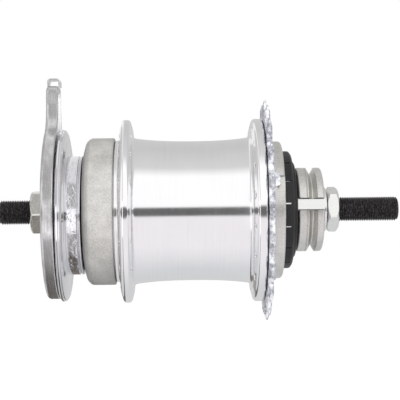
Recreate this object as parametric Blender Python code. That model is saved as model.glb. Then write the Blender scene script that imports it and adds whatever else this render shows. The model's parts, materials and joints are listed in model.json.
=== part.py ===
"""Bicycle hub gear: a three-speed epicyclic rear hub with a back-pedal brake and a rotary selector.

Frame: +X runs along the axle towards the sprocket, +Z is up along the brake arm, and the origin is on
the axle's axis, midway between the outer faces of the two locknuts.  Sizes in the text are millimetres
and are turned into metres when a mesh is written.

Nearly every piece is a stack of closed loops of points, each loop lying round the X axis.
"""

import math

import bmesh
import bpy
from mathutils import Matrix, Vector

MM = 0.001
GAP = 0.3

# ---- driving dimensions --------------------------------------------------------------------------
LOCKNUT_SPAN = 130.0
AXLE_LEFT = -78.5
AXLE_RIGHT = 90.6
AXLE_RADIUS = 5.15
AXLE_BORE = AXLE_RADIUS + GAP

LOCKNUT_FLATS = 17.0
LOCKNUT_LEFT_WIDTH = 5.8
LOCKNUT_RIGHT_WIDTH = 5.1

# Washers as (left, right, radius).
LEFT_WASHER = (-58.9, -58.1, 9.2)
RIGHT_WASHER = (58.2, 59.6, 9.4)

ARM_LEFT = -57.8
ARM_RIGHT = -52.7
ARM_DISC_RADIUS = 36.8
ARM_TIP = 53.0
ARM_HALF_WIDTH = 7.5
ARM_BLEND = 14.0
ARM_SHEET = 2.2
CONE_NECK = 12.0

COVER_RADIUS = 36.4
COVER_SAG = 1.5
BOSS_RADIUS = 25.1
BOSS_RIGHT = -43.5

DRUM_RADIUS = 31.1
DRUM_LEFT = -42.9
DRUM_RIGHT = -29.3

SHELL_BORE = 25.6
FLANGE_RADIUS = 38.7
FLANGE_LEFT = (-27.0, -21.7)
FLANGE_RIGHT = (27.7, 32.7)
BARREL_WAIST = 29.5
BARREL_END = 31.0
SPOKE_COUNT = 18
SPOKE_CIRCLE = 35.4
SPOKE_HOLE = 1.35

SPROCKET_TEETH = 21
CHAIN_PITCH = 12.7
SPROCKET_LEFT = 33.1
SPROCKET_RIGHT = 35.5
SPROCKET_SEAT = 17.0
DUST_DISC_RADIUS = 29.1

GEAR_MODULE = 0.875
SUN_TEETH = 16
PLANET_TEETH = 16
RING_TEETH = SUN_TEETH + 2 * PLANET_TEETH
PLANET_COUNT = 4
GEAR_LEFT = 1.0
GEAR_RIGHT = 9.0
PLANET_ORBIT = GEAR_MODULE * (SUN_TEETH + PLANET_TEETH) / 2
PIN_RADIUS = 2.2
CAGE_PLATE_RADIUS = 22.5

BRAKE_TAPER = math.radians(25.0)
SHOE_COUNT = 3
SHOE_OUTER = 22.4
SHOE_ENDS = (-32.0, -17.0)
SHOE_RIDGE = 14.6

LINER_OUTER = SHELL_BORE - GAP
RATCHET_TEETH = 16
RATCHET_TIP = 23.0
RATCHET_ROOT = 24.2

# The hub drives forwards by turning in the DRIVE sense about +X.
DRIVE = -1
PAWL_COUNT = 2
PAWL_PIVOT = 20.8
PAWL_TAIL = 0.9
PAWL_LENGTH = 5.5
PAWL_DEPTH = 1.3
PAWL_OUT = 12.0

CLUTCH_ARMS = 4
CLUTCH_ARM_RADIUS = 18.2
CLUTCH_ARM_HALF = 2.2

PULLEY_LEFT = 46.5
PULLEY_RIGHT = 57.8
PULLEY_RADIUS = 17.75
PULLEY_GROOVE = 52.4

KEY_HALF_WIDTH = 1.0
KEYWAY_FLOOR = 2.6
KEYWAY_ENDS = (14.0, 56.0)

# Bearings as (x of the ball centres, radius of their circle, ball radius).
LEFT_BALL = (-38.0, 20.0, 2.75)
MAIN_BALL = (27.6, 20.9, 2.3)
DRIVER_BALL = (39.3, 10.6, 1.9)

# How many flats a round piece has.
FINE = 32
MEDIUM = 24
COARSE = 18


# ---- outlines: lists of (y, z) points round the axis ---------------------------------------------
def circle(radius, count=MEDIUM, phase=0.0):
    """Points on a circle; phase is in steps."""
    step = 2 * math.pi / count
    return [polar(radius, step * (i + phase)) for i in range(count)]


def polar(radius, angle):
    return (radius * math.cos(angle), radius * math.sin(angle))


def circle_from(outline, radius, count):
    """Points on a circle, the first at the same angle as the outline's first point."""
    y, z = outline[0]
    return circle(radius, count, math.atan2(z, y) * count / (2 * math.pi))


def arc(centre_x, centre_r, radius, start, end, steps=4):
    """Profile points (x, r) on an arc; angles in degrees, 0 towards +X and 90 away from the axis."""
    angles = [math.radians(start + (end - start) * i / steps) for i in range(steps + 1)]
    return [(centre_x + radius * math.cos(a), centre_r + radius * math.sin(a)) for a in angles]


def gear_outline(teeth, pitch_radius, tip_radius, root_radius, phase=0.0, thickness=0.40):
    """Four points a tooth: root, tip, tip, root.  Phase is in teeth, and a tooth sits at phase 0.

    thickness is the tooth's share of the pitch at the pitch circle.
    """
    pitch = 2 * math.pi / teeth
    slope = math.tan(math.radians(22.0)) / pitch_radius
    tipwards = 1 if tip_radius > root_radius else -1
    points = []
    for tooth in range(teeth):
        middle = pitch * (tooth + phase)
        for radius, side in ((root_radius, -1), (tip_radius, -1), (tip_radius, 1), (root_radius, 1)):
            half = pitch * thickness / 2 - slope * tipwards * (radius - pitch_radius)
            points.append(polar(radius, middle + side * half))
    return points


def ratchet_outline(direction, phase):
    """Internal saw teeth, three points each, that a pawl pushes in the given direction."""
    middle = (RATCHET_TIP + RATCHET_ROOT) / 2
    parts = [(0.0, RATCHET_ROOT), (0.08, RATCHET_TIP), (0.55, middle)]
    if direction < 0:
        parts = [(1.0 - part, radius) for part, radius in reversed(parts)]
    pitch = 2 * math.pi / RATCHET_TEETH
    return [polar(radius, pitch * (tooth + phase + part))
            for tooth in range(RATCHET_TEETH) for part, radius in parts]


# ---- solids --------------------------------------------------------------------------------------
def material(name, color, roughness, metallic):
    """One Principled material, made on first use and shared by name."""
    found = bpy.data.materials.get(name)
    if found:
        return found
    made = bpy.data.materials.new(name)
    made.use_nodes = True
    shader = made.node_tree.nodes["Principled BSDF"]
    shader.inputs["Base Color"].default_value = (*color, 1.0)
    shader.inputs["Roughness"].default_value = roughness
    shader.inputs["Metallic"].default_value = metallic
    return made


def black_oxide():
    return material("black_oxide", (0.02, 0.02, 0.022), 0.45, 0.6)


def zinc():
    return material("zinc", (0.55, 0.55, 0.54), 0.42, 0.9)


def chrome():
    return material("chrome", (0.78, 0.78, 0.80), 0.12, 1.0)


def polished_alloy():
    return material("polished_alloy", (0.80, 0.80, 0.82), 0.12, 1.0)


def cast_alloy():
    return material("cast_alloy", (0.62, 0.61, 0.59), 0.50, 0.8)


def black_plastic():
    return material("black_plastic", (0.03, 0.03, 0.03), 0.45, 0.0)


def hardened_steel():
    return material("hardened_steel", (0.42, 0.42, 0.43), 0.30, 1.0)


def spring_steel():
    return material("spring_steel", (0.30, 0.30, 0.32), 0.30, 1.0)


def friction_bronze():
    return material("friction_bronze", (0.55, 0.38, 0.20), 0.40, 1.0)


def bridge(bm, first, second):
    """Join two loops of vertices.  One count may be a multiple of the other if both lie in one plane."""
    if len(first) < len(second):
        coarse, fine, flip = first, second, False
    else:
        coarse, fine, flip = second, first, True
    ratio = len(fine) // len(coarse)
    for i in range(len(coarse)):
        after = (i + 1) % len(coarse)
        run = [fine[(i * ratio + k) % len(fine)] for k in range(ratio + 1)]
        face = [coarse[i], coarse[after]] + run[::-1]
        bm.faces.new(face[::-1] if flip else face)


def finish_object(name, bm, mat, location=(0.0, 0.0, 0.0)):
    """Write the mesh in metres, faces out, and shade it smooth with sharp edges kept."""
    bmesh.ops.recalc_face_normals(bm, faces=bm.faces)
    bm.transform(Matrix.Scale(MM, 4))
    mesh = bpy.data.meshes.new(name)
    bm.to_mesh(mesh)
    bm.free()
    mesh.materials.append(mat)
    mesh.shade_smooth()
    mesh.set_sharp_from_angle(angle=math.radians(35.0))
    made = bpy.data.objects.new(name, mesh)
    made.location = Vector(location) * MM
    bpy.context.scene.collection.objects.link(made)
    return made


def add_stack(bm, loops, ring):
    """Add loops of (x, y, z) points joined in order: a ring closes on its first loop, a bar is capped."""
    rows = [[bm.verts.new(point) for point in loop] for loop in loops]
    for first, second in zip(rows, rows[1:]):
        bridge(bm, first, second)
    if ring:
        bridge(bm, rows[-1], rows[0])
    else:
        bm.faces.new(rows[0])
        bm.faces.new(rows[-1])


def stack(name, loops, mat, ring=True, location=(0.0, 0.0, 0.0)):
    bm = bmesh.new()
    add_stack(bm, loops, ring)
    return finish_object(name, bm, mat, location)


def at(x, outline):
    """An outline placed at x along the axle."""
    return [(x, y, z) for y, z in outline]


def turned(name, profile, mat, steps=MEDIUM, ring=True, sag=0.0):
    """Turn a profile of (x, r) points about the X axis, or about a line that runs sag below it."""
    loops = [at(x, circle(r, steps)) for x, r in profile]
    return stack(name, loops, mat, ring, location=(0.0, 0.0, -sag))


def swept_sector(name, profile, mat, start, end, steps):
    """Sweep a closed profile of (x, r) points round the axis from start to end degrees."""
    loops = []
    for i in range(steps + 1):
        angle = math.radians(start + (end - start) * i / steps)
        loops.append([(x, *polar(r, angle)) for x, r in profile])
    return stack(name, loops, mat, ring=False)


def box_corners(low, high):
    """Two loops of four corners, low x and high x."""
    face = [(low[1], low[2]), (high[1], low[2]), (high[1], high[2]), (low[1], high[2])]
    return [at(low[0], face), at(high[0], face)]


def turn_loops(loops, angle, about=(0.0, 0.0)):
    """Turn loops of points about an axis parallel to X through (y, z)."""
    cos, sin = math.cos(angle), math.sin(angle)
    turned_loops = []
    for loop in loops:
        turned_loops.append([(x,
                              about[0] + (y - about[0]) * cos - (z - about[1]) * sin,
                              about[1] + (y - about[0]) * sin + (z - about[1]) * cos) for x, y, z in loop])
    return turned_loops


def as_tool(made):
    """Mark an object as a hidden solid that a Boolean adds or cuts."""
    made.hide_render = True
    made.display_type = "WIRE"
    return made


def tool_of(name, stacks):
    """A hidden solid of one or more bars."""
    bm = bmesh.new()
    for loops in stacks:
        add_stack(bm, loops, ring=False)
    return as_tool(finish_object(name, bm, hardened_steel()))


def combine(target, tool, operation):
    """Union the tool with the target, or cut it away."""
    modifier = target.modifiers.new(tool.name, "BOOLEAN")
    modifier.operation = operation
    modifier.solver = "EXACT"
    modifier.object = tool


def bar_loops(x0, x1, radius, steps, y=0.0, z=0.0):
    """A round bar along X centred at (y, z)."""
    outline = [(y + a, z + b) for a, b in circle(radius, steps)]
    return [at(x0, outline), at(x1, outline)]


# ---- axle and what is clamped to it --------------------------------------------------------------
def make_axle():
    chamfer = 1.0
    profile = [(AXLE_LEFT, AXLE_RADIUS - chamfer), (AXLE_LEFT + chamfer, AXLE_RADIUS),
               (AXLE_RIGHT - chamfer, AXLE_RADIUS), (AXLE_RIGHT, AXLE_RADIUS - chamfer)]
    axle = turned("axle", profile, black_oxide(), COARSE, ring=False)
    keyway_half = KEY_HALF_WIDTH + GAP
    keyway = box_corners((KEYWAY_ENDS[0], -keyway_half, KEYWAY_FLOOR),
                         (KEYWAY_ENDS[1], keyway_half, AXLE_RADIUS + 2.0))
    combine(axle, tool_of("cut_keyway", [keyway]), "DIFFERENCE")


def hexagon(flat, corner, corner_angle):
    """Twelve points, by turns at a corner and at the middle of a flat, from corner_angle degrees on."""
    first = math.radians(corner_angle)
    return [polar(flat if i % 2 else corner, first + math.pi / 6 * i) for i in range(12)]


def make_locknut(name, left, right, outer_is_right, corner_angle):
    """A hexagon with its corners chamfered on the outer face."""
    flat = LOCKNUT_FLATS / 2
    corner = flat / math.cos(math.pi / 6)
    chamfer = 0.9
    outline = hexagon(flat, corner, corner_angle)
    bevelled = hexagon(flat, corner - chamfer, corner_angle)
    bore = circle_from(outline, AXLE_BORE + 0.1, len(outline))
    round_end = circle_from(outline, flat, len(outline))
    loops = [at(left + chamfer, outline), at(right, bevelled), at(right, bore), at(left, bore),
             at(left, round_end)]
    if outer_is_right:
        loops = [[(left + right - x, y, z) for x, y, z in loop] for loop in loops]
    stack(name, loops, zinc())


def make_washer(name, left, right, radius):
    turned(name, [(left, radius), (right, radius), (right, AXLE_BORE), (left, AXLE_BORE)], zinc(), COARSE)


def arm_outline(inset):
    """The brake arm's edge: a disc that runs into a short arm along +Z, moved inwards by inset."""
    disc = ARM_DISC_RADIUS - inset
    half = ARM_HALF_WIDTH - inset
    blend = ARM_BLEND + inset
    centre_y = half + blend
    centre_z = math.sqrt((disc + blend) ** 2 - centre_y ** 2)
    meet = math.atan2(centre_z, centre_y)
    right_side = []
    disc_steps = 15
    for i in range(disc_steps + 1):
        right_side.append(polar(disc, -math.pi / 2 + (meet + math.pi / 2) * i / disc_steps))
    blend_steps = 4
    for i in range(1, blend_steps + 1):
        angle = meet + math.pi + (math.pi - meet - math.pi) * i / blend_steps
        right_side.append((centre_y + blend * math.cos(angle), centre_z + blend * math.sin(angle)))
    corner = 3.0
    top = ARM_TIP - inset
    corner_steps = 3
    for i in range(corner_steps + 1):
        angle = math.pi / 2 * i / corner_steps
        right_side.append((half - corner * (1 - math.cos(angle)), top - corner * (1 - math.sin(angle))))
    left_side = [(-y, z) for y, z in right_side[-1:0:-1]]
    return right_side + left_side


def make_brake_arm():
    """A pressed pan: a flat web on the outside and a rim turned in towards the hub."""
    ease = 0.7
    outer = arm_outline(0.0)
    eased = arm_outline(ease)
    inner = arm_outline(ARM_SHEET)
    hole = [polar(AXLE_BORE, math.atan2(z, y)) for y, z in outer]
    floor = ARM_LEFT + ARM_SHEET
    loops = [at(ARM_LEFT, eased), at(ARM_LEFT + ease, outer), at(ARM_RIGHT - ease, outer),
             at(ARM_RIGHT, eased), at(ARM_RIGHT, inner), at(floor, inner), at(floor, hole),
             at(ARM_LEFT, hole)]
    stack("brake_arm", loops, chrome())


def make_arm_end_clip():
    """A small folded clip standing on the tip of the arm."""
    bottom = ARM_TIP + GAP
    top = bottom + 3.6
    outline = [(-4.5, bottom), (4.5, bottom), (4.5, top - 1.0), (3.5, top), (-3.5, top), (-4.5, top - 1.0)]
    narrow = [(y * 0.9, min(z, top - 0.5)) for y, z in outline]
    stack("arm_end_clip", [at(ARM_LEFT + 0.8, narrow), at(ARM_LEFT + 1.8, outline), at(ARM_RIGHT, outline)],
          zinc(), ring=False)


def make_brake_cover():
    """A dished disc that closes the arm's pan."""
    sheet = 1.4
    bore = CONE_NECK + COVER_SAG + GAP
    rim_left = ARM_RIGHT + GAP
    outer = [(rim_left, COVER_RADIUS - 0.8), (rim_left + 0.8, COVER_RADIUS), (-50.2, COVER_RADIUS),
             (-49.2, COVER_RADIUS - 1.2), (-49.0, 30.5), (-48.0, 29.0), (-48.0, bore)]
    inner = [(-48.0 - sheet, bore), (-48.0 - sheet, 28.4), (-49.0 - sheet, 29.8),
             (-49.2 - sheet, COVER_RADIUS - 2.4)]
    profile = outer + inner + [(rim_left, COVER_RADIUS - 2.4)]
    turned("brake_cover", profile, chrome(), FINE, sag=COVER_SAG)


def make_brake_boss():
    """A bright cylinder with a raised lip, open towards the hub."""
    left = -47.7
    bore = CONE_NECK + COVER_SAG + GAP
    outer = [(left, BOSS_RADIUS - 0.5), (left + 0.5, BOSS_RADIUS), (-45.0, BOSS_RADIUS),
             (-44.8, BOSS_RADIUS - 0.6), (-44.2, BOSS_RADIUS - 0.6), (-44.0, BOSS_RADIUS - 0.1),
             (BOSS_RIGHT, BOSS_RADIUS - 0.3)]
    inner = [(BOSS_RIGHT, BOSS_RADIUS - 2.0), (left + 1.6, BOSS_RADIUS - 2.0), (left + 1.6, bore),
             (left, bore)]
    turned("brake_boss", outer + inner, chrome(), FINE, sag=COVER_SAG)


def shoe_inner(x):
    """The shoes' inner radius at x: a ridge in the middle, tapering open to both ends."""
    middle = sum(SHOE_ENDS) / 2
    return SHOE_RIDGE + min(abs(x - middle), 5.0) * math.tan(BRAKE_TAPER)


def make_left_cone():
    """Clamped to the axle: carries the left balls and wedges the shoes' left ends."""
    x, r, ball = LEFT_BALL
    track = ball + GAP
    wedge_gap = 0.4
    profile = [(-55.3, CONE_NECK), (-43.2, CONE_NECK), (-43.2, 16.5), (-41.2, r - track * 0.7071)]
    profile += arc(x, r, track, 225.0, 270.0, 3)
    wide = shoe_inner(-29.5) - wedge_gap
    profile += [(-35.0, r - track), (-34.5, wide), (-29.5, wide), (-27.5, shoe_inner(-27.5) - wedge_gap),
                (-27.5, AXLE_BORE), (-55.3, AXLE_BORE)]
    turned("left_cone", profile, hardened_steel(), MEDIUM)


def make_right_cone():
    x, r, ball = DRIVER_BALL
    track = ball + GAP
    profile = [(36.5, r - track - 1.0), (37.5, r - track)]
    profile += arc(x, r, track, 270.0, 315.0, 3)
    profile += [(42.0, 9.2), (42.0, 11.5), (45.8, 11.5), (45.8, AXLE_BORE), (36.5, AXLE_BORE)]
    turned("right_cone", profile, hardened_steel(), COARSE)


def make_sun_pinion():
    pitch = GEAR_MODULE * SUN_TEETH / 2
    outline = gear_outline(SUN_TEETH, pitch, pitch + 0.8 * GEAR_MODULE, pitch - 1.1 * GEAR_MODULE)
    bore = circle(AXLE_BORE, SUN_TEETH, phase=-0.5)
    left, right = GEAR_LEFT - 0.4, GEAR_RIGHT + 0.4
    loops = [at(left, outline), at(right, outline), at(right, bore), at(left, bore)]
    stack("sun_pinion", loops, hardened_steel())


# ---- shell and what turns with it ----------------------------------------------------------------
def barrel_radius(x):
    """The waisted barrel's outer radius between the flanges."""
    middle = (FLANGE_LEFT[1] + FLANGE_RIGHT[0]) / 2
    half = (FLANGE_RIGHT[0] - FLANGE_LEFT[1]) / 2
    share = abs(x - middle) / half
    return BARREL_WAIST + (BARREL_END - BARREL_WAIST) * share ** 2.5


def spoke_cutters():
    """Bars along X at each spoke hole; the two flanges are half a step apart."""
    bars = []
    for (left, right), shift in ((FLANGE_LEFT, 0.0), (FLANGE_RIGHT, 0.5)):
        for hole in range(SPOKE_COUNT):
            y, z = polar(SPOKE_CIRCLE, 2 * math.pi * (hole + shift) / SPOKE_COUNT)
            bars.append(bar_loops(left - 1.0, right + 1.0, SPOKE_HOLE, 6, y, z))
    return bars


def flange_profile(left, right, root_left, root_right):
    """A flange that thins towards a rounded rim."""
    round_off = 1.1
    return [(left, root_left), (left, FLANGE_RADIUS - round_off), (left + round_off, FLANGE_RADIUS),
            (right - round_off, FLANGE_RADIUS), (right, FLANGE_RADIUS - round_off), (right, root_right)]


def make_hub_shell():
    sleeve_left = -34.2
    neck = 30.0
    fillet = 1.4
    profile = [(sleeve_left, SHELL_BORE), (sleeve_left, 28.4), (DRUM_RIGHT + GAP, 28.4),
               (DRUM_RIGHT + GAP, neck)]
    profile += flange_profile(*FLANGE_LEFT, neck, BARREL_END + fillet)
    barrel = (FLANGE_LEFT[1] + fillet, -12.0, 3.0, 18.0, FLANGE_RIGHT[0] - fillet)
    profile += [(x, barrel_radius(x)) for x in barrel]
    profile += flange_profile(*FLANGE_RIGHT, BARREL_END + fillet, 28.0)
    profile += [(32.6, 27.6), (32.6, SHELL_BORE)]
    shell = turned("hub_shell", profile, polished_alloy(), FINE)
    combine(shell, tool_of("cut_spoke_holes", spoke_cutters()), "DIFFERENCE")


def make_drum_cover():
    """The matt drum on the left end, open towards the shell."""
    corner = 2.5
    inner = 28.7
    hole = 18.6
    profile = [(DRUM_LEFT, hole), (DRUM_LEFT, DRUM_RADIUS - corner)]
    profile += arc(DRUM_LEFT + corner, DRUM_RADIUS - corner, corner, 150.0, 90.0, 2)
    profile += [(DRUM_RIGHT, DRUM_RADIUS), (DRUM_RIGHT, inner), (DRUM_LEFT + 1.5, inner),
                (DRUM_LEFT + 1.5, hole)]
    turned("drum_cover", profile, cast_alloy(), FINE)


def make_left_ball_cup():
    x, r, ball = LEFT_BALL
    track = ball + GAP
    profile = [(-41.1, 28.4), (-34.5, 28.4), (-34.5, r + track * 0.7071)]
    profile += arc(x, r, track, 45.0, 90.0, 3)
    profile += [(-41.1, r + track)]
    turned("left_ball_cup", profile, hardened_steel(), MEDIUM)


def make_brake_liner():
    profile = [(-34.0, LINER_OUTER), (-13.5, LINER_OUTER), (-13.5, 23.4), (-34.0, 23.4)]
    turned("brake_liner", profile, hardened_steel(), MEDIUM)


def make_low_gear_ratchet():
    """Saw teeth inside the shell for the low-gear pawls."""
    teeth = ratchet_outline(DRIVE, ratchet_phase())
    outer = circle_from(teeth, LINER_OUTER, len(teeth) // 2)
    loops = [at(-4.9, outer), at(-0.3, outer), at(-0.3, teeth), at(-4.9, teeth)]
    stack("low_gear_ratchet", loops, hardened_steel())


def make_right_ball_ring():
    """Screwed into the shell: saw teeth for the gear ring's pawls, then the main ball track."""
    x, r, ball = MAIN_BALL
    track = ball + GAP
    teeth = ratchet_outline(DRIVE, ratchet_phase())
    profile = [(17.2, LINER_OUTER), (32.5, LINER_OUTER), (32.5, r + track)]
    profile += arc(x, r, track, 90.0, 135.0, 3)
    profile += [(21.5, r + track * 0.7071)]
    loops = [at(px, circle_from(teeth, pr, len(teeth) // 2)) for px, pr in profile]
    loops += [at(21.5, teeth), at(17.2, teeth)]
    stack("right_ball_ring", loops, hardened_steel())


# ---- balls ---------------------------------------------------------------------------------------
def make_ball_cage(name, track, count):
    """A thin ring through the balls' centres, with the balls joined to it."""
    x, r, ball = track
    half_width, half_depth = 0.6, 0.55
    profile = [(x - half_width, r + half_depth), (x + half_width, r + half_depth),
               (x + half_width, r - half_depth), (x - half_width, r - half_depth)]
    ring = turned(name, profile, hardened_steel(), 2 * count)
    bm = bmesh.new()
    for i in range(count):
        centre = Vector((x, *polar(r, 2 * math.pi * (i + 0.5) / count)))
        place = Matrix.Translation(centre)
        bmesh.ops.create_uvsphere(bm, u_segments=7, v_segments=4, radius=ball, matrix=place)
    balls = as_tool(finish_object(f"add_{name}", bm, hardened_steel()))
    combine(ring, balls, "UNION")


# ---- planet gear train ---------------------------------------------------------------------------
def planet_centre(index):
    return polar(PLANET_ORBIT, 2 * math.pi * index / PLANET_COUNT)


def make_planet_pinion(index):
    """Pinion with its origin on its own pin; a tooth gap faces the sun's tooth."""
    pitch = GEAR_MODULE * PLANET_TEETH / 2
    facing = PLANET_TEETH * (index / PLANET_COUNT + 0.5)
    outline = gear_outline(PLANET_TEETH, pitch, pitch + 0.8 * GEAR_MODULE, pitch - 1.1 * GEAR_MODULE,
                           phase=facing + 0.5)
    bore_radius = PIN_RADIUS + GAP
    bore = circle(bore_radius, PLANET_TEETH, phase=(facing + 0.5) % PLANET_TEETH - 0.5)
    y, z = planet_centre(index)
    stack(f"planet_pinion_{index + 1}",
          [at(GEAR_LEFT, outline), at(GEAR_RIGHT, outline), at(GEAR_RIGHT, bore), at(GEAR_LEFT, bore)],
          hardened_steel(), location=(0.0, y, z))


def make_planet_pin(index):
    y, z = planet_centre(index)
    stack(f"planet_pin_{index + 1}", bar_loops(-4.2, 12.2, PIN_RADIUS, 12), hardened_steel(), ring=False,
          location=(0.0, y, z))


def make_planet_cage():
    """Two plates joined by posts between the pinions, a sleeve for the brake cone, clutch dogs."""
    sleeve = 9.6
    profile = [(-20.0, sleeve), (-5.0, sleeve), (-5.0, CAGE_PLATE_RADIUS), (0.2, CAGE_PLATE_RADIUS),
               (0.2, AXLE_BORE), (-20.0, AXLE_BORE)]
    cage = turned("planet_cage", profile, hardened_steel(), MEDIUM)
    pockets = [pawl_pocket(-5.6, 0.8, i) for i in range(PAWL_COUNT)]
    combine(cage, tool_of("cut_cage_pawl_pockets", pockets), "DIFFERENCE")
    posts, dogs, holes = [], [], []
    for i in range(PLANET_COUNT):
        between = 2 * math.pi * (i + 0.5) / PLANET_COUNT
        posts.append(bar_loops(-1.0, 10.5, 3.2, 10, *polar(15.6, between)))
        dogs.append(turn_loops(box_corners((11.5, 16.3, -3.2), (15.0, 19.6, 3.2)), between))
        holes.append(bar_loops(-6.0, 14.0, PIN_RADIUS + 0.25, 12, *planet_centre(i)))
    combine(cage, tool_of("add_cage_posts", posts), "UNION")
    plate_profile = [(9.8, 20.0), (12.3, 20.0), (12.3, 9.0), (9.8, 9.0)]
    plate = turned("add_cage_plate", plate_profile, hardened_steel(), MEDIUM)
    combine(cage, as_tool(plate), "UNION")
    combine(cage, tool_of("add_cage_dogs", dogs), "UNION")
    combine(cage, tool_of("cut_pin_holes", holes), "DIFFERENCE")


def make_gear_ring():
    """Internal teeth on the left, clutch lugs and pawl pockets on the right."""
    pitch = GEAR_MODULE * RING_TEETH / 2
    teeth = gear_outline(RING_TEETH, pitch, pitch - 0.8 * GEAR_MODULE, pitch + 1.1 * GEAR_MODULE)
    teeth_ends = [GEAR_LEFT - 0.5, GEAR_RIGHT + 0.5]
    lugs = []
    lug_count = 8
    points_per_lug = 2 * RING_TEETH // lug_count
    notch_points = points_per_lug // 2
    lug_tip, notch_floor = 16.5, 18.7
    for i in range(2 * RING_TEETH):
        in_notch = (i + notch_points // 2) % points_per_lug <= notch_points
        lugs.append(polar(notch_floor if in_notch else lug_tip, math.pi * i / RING_TEETH))
    step_x, end_x, lug_x = 16.4, 20.9, 17.0
    wide, narrow, hollow = 24.6, 22.3, 22.1
    plain = RING_TEETH // 2
    loops = [at(teeth_ends[0], circle(wide, plain)), at(step_x, circle(wide, plain)),
             at(step_x, circle(narrow, plain)), at(end_x, circle(narrow, plain)), at(end_x, lugs),
             at(lug_x, lugs), at(lug_x, circle(hollow, plain)), at(teeth_ends[1], circle(hollow, plain)),
             at(teeth_ends[1], teeth), at(teeth_ends[0], teeth)]
    ring = stack("gear_ring", loops, hardened_steel())
    pockets = [pawl_pocket(lug_x - 0.1, 22.0, i) for i in range(PAWL_COUNT)]
    combine(ring, tool_of("cut_ring_pawl_pockets", pockets), "DIFFERENCE")


# ---- pawls ---------------------------------------------------------------------------------------
def pawl_angle(index):
    """Where the pawl's pivot sits round the axis."""
    return math.pi / 2 + 2 * math.pi * index / PAWL_COUNT + DRIVE * math.radians(-9.0)


def ratchet_phase():
    """The phase, in teeth, at which a steep face stands just ahead of each lifted pawl's tip."""
    clearance = math.radians(0.9)
    lift = math.radians(PAWL_OUT)
    along = PAWL_LENGTH * math.cos(lift)
    out = PAWL_PIVOT + PAWL_LENGTH * math.sin(lift)
    face = pawl_angle(0) + DRIVE * (math.atan2(along, out) + clearance)
    return (face * RATCHET_TEETH / (2 * math.pi)) % 1.0


def pawl_pocket(x0, x1, index):
    """A flat-bottomed pocket that leaves the pawl room to fold in and out."""
    back, front = -PAWL_TAIL - 0.5, PAWL_LENGTH + 0.8
    low, high = PAWL_PIVOT - PAWL_TAIL - 0.35, PAWL_PIVOT + 4.0
    ends = sorted((DRIVE * back, DRIVE * front))
    loops = box_corners((x0, low, ends[0]), (x1, high, ends[1]))
    return turn_loops(loops, pawl_angle(index))


def make_pawl(name, x0, x1, index, lifted):
    """A wedge with a round tail on its pivot; lifted is how far out it stands at rest, in degrees."""
    tail_steps = 5
    outline = []
    for i in range(tail_steps + 1):
        angle = math.radians(90.0 + 180.0 * i / tail_steps)
        outline.append((PAWL_TAIL * math.cos(angle), PAWL_TAIL * math.sin(angle)))
    outline += [(PAWL_LENGTH, 0.1), (PAWL_LENGTH, PAWL_DEPTH)]
    lift = math.radians(lifted)
    points = []
    for along, out in outline:
        radial = along * math.sin(lift) + out * math.cos(lift)
        tangent = along * math.cos(lift) - out * math.sin(lift)
        points.append((radial, DRIVE * tangent))
    angle = pawl_angle(index)
    loops = turn_loops([at(x0, points), at(x1, points)], angle)
    y, z = polar(PAWL_PIVOT, angle)
    stack(name, loops, hardened_steel(), ring=False, location=(0.0, y, z))


# ---- driver and what turns with it ---------------------------------------------------------------
def make_driver():
    """Slotted tube for the clutch, main ball track, sprocket seat and the cup for the driver balls."""
    mx, mr, main = MAIN_BALL
    dx, dr, small = DRIVER_BALL
    main_track, small_track = main + GAP, small + GAP
    outer = [(13.0, 15.8), (24.5, 15.8), (24.8, mr - main_track)]
    outer += arc(mx, mr, main_track, 270.0, 315.0, 3)
    outer += [(30.6, 19.1), (30.6, 21.5), (32.8, 21.5), (32.8, SPROCKET_SEAT), (41.0, SPROCKET_SEAT),
              (41.0, 15.9), (42.4, 15.9), (42.4, SPROCKET_SEAT - 0.4), (43.8, SPROCKET_SEAT - 0.4)]
    inner = [(43.8, dr + small_track)] + arc(dx, dr, small_track, 90.0, 135.0, 3)
    inner += [(36.2, dr + small_track * 0.7071), (36.2, 9.1), (34.0, 9.1), (34.0, 13.2), (13.0, 13.2)]
    driver = turned("driver", outer + inner, hardened_steel(), MEDIUM)
    slots = [turn_loops(box_corners((12.0, 10.0, -2.7), (23.0, 20.0, 2.7)), 2 * math.pi * i / CLUTCH_ARMS)
             for i in range(CLUTCH_ARMS)]
    combine(driver, tool_of("cut_clutch_slots", slots), "DIFFERENCE")


def sprocket_outline():
    """Roller-chain teeth: a round seat for each roller and a short blunt tooth between."""
    pitch_radius = CHAIN_PITCH / (2 * math.sin(math.pi / SPROCKET_TEETH))
    seat_radius = 3.95
    tip_radius = pitch_radius + 4.0
    step = 2 * math.pi / SPROCKET_TEETH
    outline = []
    for tooth in range(SPROCKET_TEETH):
        seat = step * tooth
        seat_y, seat_z = polar(pitch_radius, seat)
        for swing in (75.0, 30.0, -30.0, -75.0):
            y, z = polar(seat_radius, seat + math.pi + math.radians(swing))
            outline.append((seat_y + y, seat_z + z))
        outline.append(polar(tip_radius, seat + step * 0.44))
        outline.append(polar(tip_radius, seat + step * 0.56))
    return outline


def make_sprocket():
    outline = sprocket_outline()
    bore = circle(SPROCKET_SEAT + GAP, len(outline) // 3)
    loops = [at(SPROCKET_LEFT, outline), at(SPROCKET_RIGHT, outline), at(SPROCKET_RIGHT, bore),
             at(SPROCKET_LEFT, bore)]
    stack("sprocket", loops, zinc())


def make_sprocket_dust_disc():
    """A shallow silver cup beside the sprocket."""
    left, right, radius, sheet = SPROCKET_RIGHT + GAP, 40.7, DUST_DISC_RADIUS, 1.4
    bore = SPROCKET_SEAT + GAP
    profile = [(left, radius), (right - 0.8, radius), (right, radius - 0.8), (right, bore),
               (right - sheet, bore), (right - sheet, radius - sheet), (left, radius - sheet)]
    turned("sprocket_dust_disc", profile, cast_alloy(), FINE)


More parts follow.
